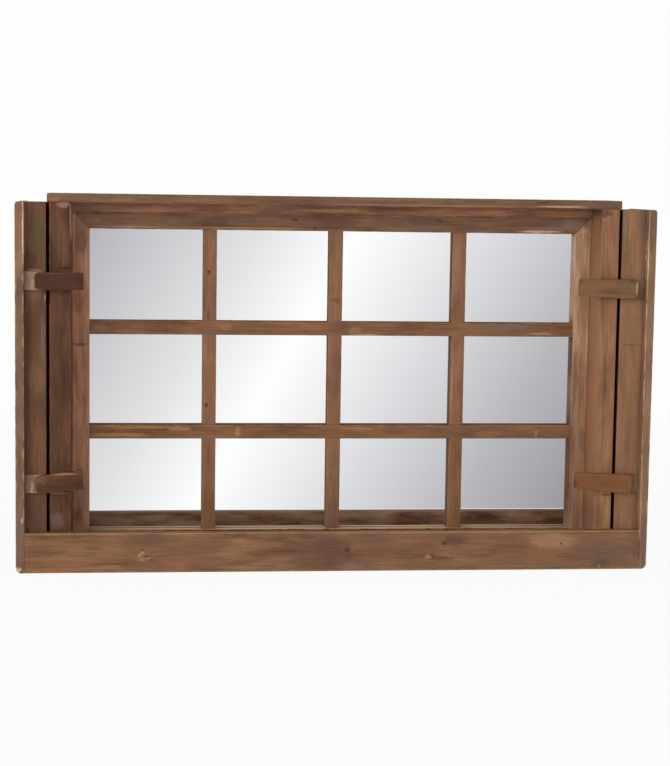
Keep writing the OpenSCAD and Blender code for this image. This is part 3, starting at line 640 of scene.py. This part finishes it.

# The front board: one pine board across the foot, nailed from behind through the post boards. It
# has a cluster of pale knots at the left and a soft dark patch round a knot near the middle. Its
# top arris is rubbed bare all along and widened into a painted highlight of the lit top, and its
# back, which the mirror shows and which lies in shade, is painted unevenly paler as painted light.
FRONT_KNOTS = ((-299, 26, 3), (-290, 20, 2), (16, 34, 3), (171, 44, 3), (152, 24, 3))
FRONT_MARKS = (
    (-293, 50, 25, 9.5, "#6a4f3e", 0.6), (-51, 57, 17, 5, "#5d4434", 0.5),
    (-305, 25, 11, 8, "#9b7957", 0.6), (-305, 32, 2.5, 1.9, "#cfa988", 0.7),
    (-309, 28, 2.2, 1.9, "#c9a27c", 0.6), (-296, 23, 2.8, 1.9, "#c39a72", 0.6),
    (-305, 20, 2.5, 1.6, "#b98f68", 0.6), (-305, 37, 2.5, 1.9, "#55382a", 0.7),
    (-329, 17, 3.1, 1.6, "#5f4030", 0.6), (-355, 11, 18.6, 1.6, "#a98058", 0.6),
    (-370, 8, 34, 3.2, "#9a764f", 0.6), (-231, 21, 59, 5, "#8b5a43", 0.6),
    (-432, 5, 62, 2.5, "#a5754a", 0.6), (-153, 50, 12, 5, "#a57a56", 0.5),
    (-165, 32, 19, 14, "#96704e", 0.5), (-87, 33, 25, 8, "#634632", 0.4),
    (-6, 37, 28, 22, "#6e5046", 0.65), (18, 29, 6, 17, "#553c2e", 0.4),
    (20, 8, 25, 5, "#85715f", 0.6), (104, 30, 22, 6.4, "#614634", 0.4),
    (140, 35, 26, 13, "#75503e", 0.5), (146, 22, 5, 3.2, "#b4977a", 0.7),
    (188, 48, 19, 8, "#544237", 0.6), (165, 20, 22, 4, "#573b2e", 0.6),
    (339, 32, 39, 15, "#8f6345", 0.6), (344, 47, 40, 13, "#bb9070", 0.5),
    (360, 42, 1.6, 1.6, "#2f1d16", 0.9), (-318, 47, 24, 12, "#694a38", 0.4),
    (-201, 47, 36, 14, "#67463a", 0.4), (-28, 32, 56, 34, "#5f4133", 0.4),
    (52, 36, 36, 30, "#664a3b", 0.35), (-421, 18, 48, 12, "#ad7c55", 0.45),
    (294, 6, 81, 3.2, "#8d7352", 0.5), (440, 31, 52, 23, "#71584a", 0.6),
    (424, 10, 16, 8, "#5a4a3b", 0.6), (423, 6, 2, 3, "#a3937c", 0.5),
    (483, 31, 8, 19, "#6b5348", 0.6), (-152, 7, 41, 2.6, "#a08159", 0.5))
# Its back is painted paler as painted light, and its bare top arris is widened into a painted
# highlight
front_pine = stained_pine("stained_pine_front", ("#634731", "#866146", "#a07755"),
                          bare="#b8875c", bloom="#7d5c4a", bloom_share=0.35, seed=0.37,
                          rub=(2.2, 4.5), knots=FRONT_KNOTS, marks=FRONT_MARKS,
                          painted_shading=(-46.6, "#efcaa9", 0.3))
worn_board("worn_front_board", ["front_board"], front_pine, seed=7.3, Rings=260, Wear=1.1)

# The back: a thin panel of hardboard pinned to two sawn pine rails, which darkens the slots. None
# of it was stained, and the hardboard is an even brown with fine specks of fibre.
raw_pine = stained_pine("sawn_pine_rails", ("#9a7c5a", "#b59a76", "#c8b08c"), bare="#cdb591",
                        bloom="#a08a6c", seed=8.8)
for label, seed in (("top", 9.1), ("bottom", 9.6)):
    worn_board(f"sawn_back_rail_{label}", [f"back_rail_{label}"], raw_pine, seed=seed,
               slot="raw_pine", Arris=0.6 * MM)
FIBRE_SPECK = 1.5 * MM
HARDBOARD_TONES = ("#7c4f34", "#a06f4c")
hardboard_material, tree, place = new_material("hardboard_back")
specks = add(tree, "ShaderNodeTexNoise", {"Vector": place, "Scale": 1 / FIBRE_SPECK,
                                          "Detail": 3.0})
tone = lay_over(tree, linear(HARDBOARD_TONES[0]), [(specks, HARDBOARD_TONES[1])])
relief = add(tree, "ShaderNodeBump", {"Strength": 0.25, "Distance": 0.2 * MM, "Height": specks})
hardboard = add(tree, "ShaderNodeBsdfPrincipled", {"Base Color": tone, "Roughness": 0.72,
                                                   "Normal": relief})
add(tree, "ShaderNodeOutputMaterial", {"Surface": hardboard})

# Zinc plated steel: the nails, pins and screws and the two keyhole plates, drawn or pressed, with
# a dull bluish plating that is finely mottled.
MOTTLE = 2.5 * MM
ZINC_TONES = ("#84888c", "#b4b8ba")
steel_material, tree, place = new_material("zinc_plated_steel")
mottle = add(tree, "ShaderNodeTexNoise", {"Vector": place, "Scale": 1 / MOTTLE, "Detail": 2.0})
tone = lay_over(tree, linear(ZINC_TONES[0]), [(mottle, ZINC_TONES[1])])
rough = add(tree, "ShaderNodeMapRange", {"Value": mottle, 1: 0.3, 2: 0.7, 3: 0.32, 4: 0.5})
zinc = add(tree, "ShaderNodeBsdfPrincipled", {"Base Color": tone, "Metallic": 1.0,
                                              "Roughness": rough})
add(tree, "ShaderNodeOutputMaterial", {"Surface": zinc})


def paint(nodes, material):
    """Gives CAD nodes that are shown as they are one finish."""
    for node in nodes:
        for material_slot in frame["nodes"][node].material_slots:
            material_slot.material = material


paint(["back_panel", "backing_board"], hardboard_material)
paint(["keyhole_plates", "plate_screws", "pivot_screws", "front_board_nails", "side_board_nails",
       "panel_pins", "retaining_pins", "header_nails", "jamb_nails"], steel_material)

# The window unit's deep box: a sill and two jambs of planed pine, nailed under a header that
# covers the slots beside it. The left jamb is dark, and the right one a paler brown. A long mark
# lightens each jamb's whole inner side as painted light.
JAMB_TONES = {"left": ("#3e271b", "#5e3d2a", "#734e37"), "right": ("#70513b", "#94694d", "#af835c")}
JAMB_BLOOM = {"left": "#503225", "right": "#805b42"}
JAMB_MARKS = {
    "left": ((-427, 570, 11, 4.6, "#a5876c", 0.55), (-420, 473, 20, 2.3, "#3c241a", 0.8),
             (-417, 504, 3.8, 3.1, "#3c241a", 0.8), (-444, 539, 4.5, 23, "#5f4c34", 0.5),
             (-431, 516, 9, 30, "#70503b", 0.5), (-423, 424, 7.6, 18, "#523226", 0.6),
             (-437, 78, 11, 13, "#755b4e", 0.75), (-434, 123, 17, 1.6, "#97744f", 0.8),
             # The second mark lightens the whole inner side as painted light
             (-439, 222, 7.7, 47, "#5b4034", 0.4), (-416, 310, 0.8, 262, "#6e4732", 0.6),
             (-416, 543, 1.0, 28, "#b98f74", 0.8)),
    "right": ((421, 568, 13, 6, "#553a2b", 0.7), (410, 510, 8, 47, "#8e6d4c", 0.4),
              (435, 431, 8, 48, "#93694a", 0.4), (427, 271, 1, 96, "#4e3426", 0.5),
              # The second mark lightens the whole inner side as painted light
              (437, 118, 11, 2.4, "#553629", 0.6), (416, 310, 0.8, 262, "#aa7957", 0.75),
              (424, 85, 9, 24, "#644638", 0.5))}
for label, turn, seed in (("left", UPRIGHT, 11.2), ("right", UPRIGHT_TURNED, 12.6)):
    pine = stained_pine(f"stained_pine_jamb_{label}", JAMB_TONES[label], UPRIGHT, seed=seed,
                        bare="#a98460", bloom=JAMB_BLOOM[label], bloom_share=0.35, rub=(0.1, 1.4),
                        marks=JAMB_MARKS[label])
    worn_board(f"worn_jamb_{label}", [f"jamb_{label}"], pine, turn, seed, Rings=200,
               Arris=1.0 * MM)
HEADER_MARKS = (
    (-441, 577, 9, 4.6, "#9c714a", 0.7), (-341, 575, 92, 1.5, "#7d6148", 0.5),
    (140, 576, 159, 1.4, "#a58468", 0.5), (347, 577, 40, 1.4, "#c4a890", 0.7),
    (419, 579, 26, 8, "#6a5148", 0.7), (323, 583, 8, 2.3, "#4b352c", 0.6),
    (-371, 583, 107, 3, "#6f624e", 0.5), (93, 586, 95, 3, "#86734f", 0.5))
header_pine = stained_pine("stained_pine_header", ("#624935", "#795842", "#8e6d50"), seed=13.4,
                           bare="#a9845c", bloom="#634f42", rub=(0.1, 2.5), marks=HEADER_MARKS)
worn_board("worn_header", ["header"], header_pine, seed=13.4, Rings=240, Arris=1.6 * MM,
           Ends=1.0, Wear=0.8)
sill_pine = stained_pine("stained_pine_sill", LOW_TONES, seed=14.9)
worn_board("worn_sill_board", ["sill_board"], sill_pine, seed=14.9, Arris=1.0 * MM)

# The fillet: a thin pine strip, glued in to fill the gap between the mitred frame and the header.
# Its wax has an orange tint.
FILLET_MARKS = (
    # The first mark lightens the fillet's left end as painted light against the shade there
    (-396, 566, 22, 6, "#93705e", 0.6), (-380, 560, 47, 2.3, "#84664c", 0.6),
    (-2, 565, 61, 2.5, "#b08e54", 0.8), (-2, 559, 64, 1.9, "#5d3b2c", 0.6),
    (151, 564, 65, 2.9, "#a0764a", 0.7), (264, 564, 49, 2.4, "#b38460", 0.6),
    (370, 565, 39, 5.6, "#ab7244", 0.75), (402, 566, 14, 8, "#94786c", 0.65),
    (-271, 558, 47, 3.1, "#8c5b3c", 0.5), (-105, 561, 19, 3.2, "#6a4a36", 0.5))
fillet_pine = stained_pine("stained_pine_fillet", ("#694735", "#986a50", "#c08d69"), seed=15.5,
                           bare="#b98857", bloom="#856353", rub=(0.1, 1.5), marks=FILLET_MARKS)
worn_board("worn_top_fillet", ["top_fillet"], fillet_pine, seed=15.5, Rings=240, Arris=0.5 * MM)

# The mitred frame: four lengths of planed pine, glued at 45 degrees in front of the mirror and
# nailed through the jambs. The inner sides towards the glass are darkened with painted shade:
# nearly black under the top rail and on the left stile, dark low on the bottom rail, and paler on
# the right stile.
# Painted shade on the frame's inner sides towards the glass, as a y in mm, colour and strength
PAINTED_SHADE_BY_GLASS = (28.0, "#291810", 0.92)
PAINTED_SHADE_GLASS_LINE = (36.0, "#3d281b", 0.85)
PAINTED_SHADE_STILE_SIDE = (26.5, "#7d5a48", 0.45)
FRAME_MARKS = {
    "top_rail": ((-33, 537, 4.8, 1.6, "#38221a", 0.8), (-65, 550, 6.4, 3.2, "#503324", 0.6),
                 (168, 551, 5, 3.5, "#3f2a20", 0.7), (147, 549, 29, 6.4, "#6a544c", 0.75),
                 (7, 548, 22, 6.4, "#6b4a3e", 0.7), (-181, 547, 13, 5.5, "#63504a", 0.7),
                 (364, 549, 20, 5, "#6c6253", 0.7), (332, 536, 36, 2.1, "#d2b499", 0.85),
                 (-137, 536, 96, 1.6, "#a8804f", 0.75), (-326, 536, 47, 1.9, "#a88566", 0.6),
                 (79, 550, 13, 6.4, "#805c40", 0.5), (388, 546, 24, 11, "#95786a", 0.65),
                 # The last mark lightens the top left corner as painted light against the shade
                 # there
                 (345, 540, 30, 4, "#8c7062", 0.6), (-394, 548, 22, 10, "#8e6e5c", 0.7)),
    # A painted highlight along the top of the bottom rail, and a painted shadow below it
    "bottom_rail": ((-2, 52.4, 405, 1.2, "#cfa77f", 0.9), (-2, 48.4, 405, 2.6, "#2a1a11", 0.9)),
    "left_stile": ((-404, 514, 12, 23, "#6d564b", 0.6), (-402, 543, 16, 14, "#9c7a66", 0.7),
                   # The second mark of the left stile lightens the top left corner as painted light
                   (-414, 525, 1.2, 47, "#b8997a", 0.85), (-410, 480, 4.7, 9.4, "#a07c62", 0.6),
                   (-407, 420, 9.4, 22, "#85543a", 0.5), (-404, 350, 12, 2.4, "#4f3022", 0.6),
                   (-401, 141, 6.3, 13, "#906c4d", 0.6), (-407, 76, 8, 16, "#6b4336", 0.5)),
    "right_stile": ((404, 538, 8, 4.8, "#cdb29a", 0.5), (395, 512, 3.3, 14, "#b3937c", 0.7),
                    (415, 512, 2.5, 16, "#b08f78", 0.6), (407, 426, 12, 49, "#8b6954", 0.4),
                    (410, 279, 10, 49, "#7d6252", 0.2), (395, 300, 5, 62, "#7d5a45", 0.55),
                    (407, 305, 5, 55, "#a37c64", 0.4), (412, 197, 10, 20, "#8a6956", 0.5),
                    (403, 165, 15, 140, "#704e3c", 0.45), (393, 170, 4, 120, "#704e3c", 0.4),
                    (389.5, 342, 0.9, 60, "#2e1d14", 0.8), (389.5, 490, 1.5, 45, "#d4b5a2", 0.8),
                    (389.5, 165, 1.4, 125, "#4a3023", 0.8))}
for label, turn, seed, tones, bloom, painted_shading in (
        ("top_rail", LEVEL, 16.3, ("#604432", "#7e5c46", "#976f51"), "#745b50", PAINTED_SHADE_BY_GLASS),
        ("bottom_rail", LEVEL_TURNED, 17.1, ("#5f4631", "#8a6a48", "#a5855c"), "#67524a",
         PAINTED_SHADE_GLASS_LINE),
        ("left_stile", UPRIGHT, 18.7, ("#7c5b4a", "#b48162", "#dca984"), "#9c6e5c", PAINTED_SHADE_BY_GLASS),
        ("right_stile", UPRIGHT_TURNED, 19.4, ("#876551", "#bf9676", "#e7bc9c"), "#ab8c7d",
         PAINTED_SHADE_STILE_SIDE)):
    pine = stained_pine(f"stained_pine_{label}", tones, turn, seed=seed, bloom=bloom,
                        bare="#b58f6b", rub=(0.1, 2.5), painted_shading=painted_shading, marks=FRAME_MARKS[label])
    worn_board(f"worn_frame_{label}", [f"frame_{label}"], pine, turn, seed, Mitre=1.0, Rings=200,
               Arris=0.5 * MM)

# The glazing bars: three uprights and two level bars of planed pine, 22 mm wide, half-lapped and
# glued where they cross, with the level bars in front. They lie close on the mirror.
LAP_MARGIN = 0.6 * MM


def notch(piece, axis, spans, face_y, lap_y):
    """Moves one face of a bar back to the lap wherever another bar crosses it."""
    for vertex in piece.data.vertices:
        crossing = any(low < vertex.co[axis] < high for low, high in spans)
        if crossing and (vertex.co.y - lap_y) * (face_y - lap_y) > 0:
            vertex.co.y = lap_y


uprights = [f"upright_bar_{i}" for i in (1, 2, 3)]
levels = [f"level_bar_{i}" for i in (1, 2)]
UPRIGHT_MARKS = (
    (-201, 466, 3.2, 3.2, "#3c2a1c", 0.7), (-201, 509, 6.3, 19, "#93633f", 0.5),
    (-4, 503, 6.4, 22, "#6f5a38", 0.5), (7, 455, 3.2, 40, "#8e5a40", 0.5),
    (2, 423, 8, 4.8, "#4f3a26", 0.5), (189, 465, 2.4, 64, "#a9855f", 0.6),
    (195, 470, 12, 52, "#a07b61", 0.45), (5, 303, 6, 45, "#6d503f", 0.4),
    (-204, 253, 3.2, 4, "#41301f", 0.7), (193, 287, 2.1, 57, "#a9855f", 0.6),
    (20, 338, 1.6, 13, "#a8845a", 0.5))
LEVEL_MARKS = (
    (-373, 377, 11, 6.3, "#8a6d54", 0.5), (-325, 389, 35, 2.4, "#a57c4c", 0.6),
    (-270, 386, 40, 3.2, "#5e3a20", 0.5), (-231, 380, 40, 3.2, "#8c5a34", 0.5),
    (-173, 379, 8, 6.4, "#9a7444", 0.6), (-71, 376, 64, 3.2, "#96663a", 0.5),
    (34, 375, 13, 6.4, "#9b7a4c", 0.6), (50, 367, 26, 1.9, "#c39868", 0.7),
    (126, 379, 28, 7, "#5f4327", 0.5), (270, 380, 72, 7, "#806857", 0.65),
    (336, 371, 20, 2, "#b08a6e", 0.6), (-345, 205, 52, 3, "#ac7f4a", 0.7),
    (-270, 214, 46, 1.8, "#5a3822", 0.6), (-300, 217, 55, 1.8, "#a87e52", 0.6),
    (-245, 215, 19, 3.2, "#b28658", 0.6), (-153, 210, 5, 8, "#b08c5e", 0.6),
    (-69, 208, 73, 5, "#6e4c32", 0.4), (44, 216, 33, 2, "#a88558", 0.6),
    (101, 210, 23, 5, "#6d5042", 0.5), (334, 207, 3.3, 6.6, "#a98062", 0.6),
    (307, 200, 46, 1.6, "#a06a50", 0.6))
# The bars' sides and backs towards the glass are darkened with painted shade
upright_pine = stained_pine("stained_pine_uprights", ("#6d4d39", "#8a6244", "#9f7455"), UPRIGHT,
                            seed=20.3, bare="#a98459", bloom="#805d50", rub=(0.1, 2.5),
                            painted_shading=(28.0, "#6b4f3d", 0.8), marks=UPRIGHT_MARKS)
level_pine = stained_pine("stained_pine_level_bars", ("#644330", "#835c3f", "#9d6e48"),
                          seed=21.8, bare="#a98459", bloom="#725543", rub=(0.1, 2.5),
                          painted_shading=(28.0, "#65493a", 0.8), marks=LEVEL_MARKS)
level_piece = worn_board("worn_level_bars", levels, level_pine, seed=21.8, Arris=0.7 * MM,
                         Rings=260)
bar_front, bar_back = [corner.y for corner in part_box("level_bar_1")]
lap = (bar_front + bar_back) / 2
level_spans = [(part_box(n)[0].z + LAP_MARGIN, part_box(n)[1].z - LAP_MARGIN) for n in levels]
upright_spans = [(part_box(n)[0].x + LAP_MARGIN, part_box(n)[1].x - LAP_MARGIN) for n in uprights]
notch(level_piece, 0, upright_spans, bar_back, lap)
for node, seed in zip(uprights, (20.3, 22.2, 24.1)):
    piece = worn_board(f"worn_{node}", [node], upright_pine, UPRIGHT, seed, Arris=0.7 * MM,
                       Rings=200)
    notch(piece, 2, level_spans, bar_front, lap)

# The mirror: float glass silvered on its back, in one sheet behind all twelve openings, pinned in
# with a backing board. It reflects neutrally and almost sharply, under a faint haze from wiping.
HAZE_LENGTH = 120 * MM
mirror_material, tree, place = new_material("silvered_mirror")
haze = add(tree, "ShaderNodeTexNoise", {"Vector": place, "Scale": 1 / HAZE_LENGTH, "Detail": 2.0})
rough = add(tree, "ShaderNodeMapRange", {"Value": haze, 1: 0.3, 2: 0.7, 3: 0.005, 4: 0.02})
silver = add(tree, "ShaderNodeBsdfPrincipled", {"Base Color": linear("#f4f5f6"), "Metallic": 1.0,
                                                "Roughness": rough})
add(tree, "ShaderNodeOutputMaterial", {"Surface": silver})
paint(["mirror_glass"], mirror_material)

# The straps: four wooden turn-buttons that bridge the slots, each on a block and one screw under
# a wooden plug. They were cut by hand, so no two have the same outline. Their sizes are in mm,
# and the brow and the toe are the radii of the tip's upper and lower corners.
HEEL_RADIUS = 7 * MM
TILTED_SHARE = 0.6
STRAP_BLOOM = "#5e4234"
STRAP_SIDES = {"left": {"sign": -1, "heel_h": 27.0, "brow": 2.0, "toe": 2.0},
               "right": {"sign": 1, "heel_h": 31.5, "brow": 3.5, "toe": 5.0}}
STRAPS = {
    "upper_left": {
        "tilt": 0.0, "tip_h": 26.5, "seed": 31.2, "tones": ("#402616", "#4e2f22", "#5b3a26"),
        "marks": ((-401, 454, 4.5, 14, "#43291e", 0.6), (-454, 452, 12, 12, "#4b2c22", 0.5),
                  (-439, 466, 36, 1.5, "#72513c", 0.5))},
    "lower_left": {
        "tilt": 7.0, "tip_h": 30.5, "seed": 32.5, "tones": ("#3a2111", "#543521", "#6d482b"),
        "marks": ((-462, 147, 9, 9, "#7d6043", 0.6), (-413, 150, 15, 12, "#4f3424", 0.6),
                  (-404, 139, 6, 6, "#3d261a", 0.6), (-432, 156, 28, 1.9, "#a08059", 0.8))},
    "upper_right": {
        "tilt": 1.5, "tip_h": 27.5, "seed": 33.1, "tones": ("#5d3e2c", "#7d573d", "#8f6746"),
        "marks": ((395, 455, 13, 13, "#84624a", 0.4), (451, 453, 16, 13, "#765a4a", 0.5),
                  (471, 451, 1.6, 11, "#b9b09c", 0.7), (465, 462, 6.5, 3.2, "#543527", 0.6))},
    "lower_right": {
        "tilt": 4.5, "tip_h": 25.0, "seed": 34.8, "tones": ("#6e482e", "#815537", "#8f6240"),
        "marks": ((420, 141, 33, 6.5, "#7d5236", 0.4), (380, 138, 3.2, 8, "#4b2e20", 0.6),
                  (426, 120, 5, 2.4, "#3f281c", 0.7), (474, 138, 6.5, 13, "#7b6247", 0.6))}}
# The left blocks take lighter tones as painted light and the right ones darker tones as painted
# shade; the thin pale lines among the left blocks' marks are painted highlights
BLOCK_LIT_AND_SHADED_TONES = {"left": ("#8f6e5a", "#a8846a", "#bf9c80"),
               "right": ("#5e4838", "#775b47", "#8a6e50")}
BLOCK_MARKS_AND_HIGHLIGHTS = {
    "left": ((-482, 455, 4.5, 12, "#8a7257", 0.5), (-474, 449, 2.3, 9, "#bfa88c", 0.8),
             (-478, 138, 14, 20, "#7b5f4c", 0.6), (-475, 132, 1.5, 11, "#c9ab88", 0.8)),
    "right": ()}
joints = {joint["child"]: joint for joint in frame["joints"]}


def strap_outline(piece, pivot, strap):
    """Tapers a straight strap to its tip, rounds its corners and tilts it about its pivot."""
    sign = strap["sign"]
    xs = [vertex.co.x for vertex in piece.data.vertices]
    zs = [vertex.co.z for vertex in piece.data.vertices]
    heel_x, tip_x = (max(xs), min(xs)) if sign > 0 else (min(xs), max(xs))
    middle = (max(zs) + min(zs)) / 2
    height = max(zs) - min(zs)
    for vertex in piece.data.vertices:
        share = (vertex.co.x - heel_x) / (tip_x - heel_x)
        wanted = (strap["heel_h"] + (strap["tip_h"] - strap["heel_h"]) * share) * MM
        vertex.co.z = middle + (vertex.co.z - middle) * wanted / height
    for up in (-1, 1):
        heel_z = middle + up * strap["heel_h"] * MM / 2
        tip_z = middle + up * strap["tip_h"] * MM / 2
        radius = strap["brow"] if up > 0 else strap["toe"]
        round_corner(piece, (heel_x, heel_z), (-sign, -up), HEEL_RADIUS)
        round_corner(piece, (tip_x, tip_z), (sign, -up), radius * MM)
    place = Matrix.Translation(pivot)
    tilt = Matrix.Rotation(math.radians(strap["tilt"]) * sign, 4, "Y")
    lift = Matrix.Translation((0, 0, pivot.z - middle))
    piece.data.transform(place @ tilt @ place.inverted() @ lift)


for label, own in STRAPS.items():
    side = label.split("_")[1]
    strap = {**STRAP_SIDES[side], **own}
    seed = strap["seed"]
    node = f"strap_{label}"
    pine = stained_pine(f"stained_pine_{node}", strap["tones"], seed=seed, bloom=STRAP_BLOOM,
                        bloom_share=0.15, figure=0.5, bare="#a07b58", rub=(0.1, 1.5),
                        marks=strap["marks"])
    pivot = Vector(joints[node]["pos_m"])
    low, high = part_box(node)

    # A tilted strap's box is longer than the strap, by part of the height of its rounded heel
    tilt = math.radians(strap["tilt"])
    heel_h = strap["heel_h"] * MM
    strap_length = (high.x - low.x) * math.cos(tilt) - heel_h * math.sin(tilt) * TILTED_SHARE
    piece = worn_board(f"worn_{node}", [node], pine, seed=seed, Rings=70, Rows=29,
                       Arris=1.4 * MM, Ends=1.0, Wear=0.6,
                       Size=Vector((strap_length, high.y - low.y, heel_h)))
    strap_outline(piece, pivot, strap)
    piece.visible_glossy = False
    paint([f"plug_{label}"], stained_pine(f"stained_pine_plug_{label}", strap["tones"], seed=seed,
                                          bloom=STRAP_BLOOM, bloom_share=0.15, rub=None))
    block = f"pivot_block_{label}"
    block_pine = stained_pine(f"stained_pine_{block}", BLOCK_LIT_AND_SHADED_TONES[side], UPRIGHT, seed=seed + 0.6,
                              bare="#c2a07a", bloom="#8c7458", bloom_share=0.4, rub=(0.2, 2.0),
                              marks=BLOCK_MARKS_AND_HIGHLIGHTS[side])
    worn_board(f"worn_{block}", [block], block_pine, UPRIGHT, seed + 0.6, "worn_stained_pine",
               Rings=40, Arris=0.8 * MM, Ends=1.0)
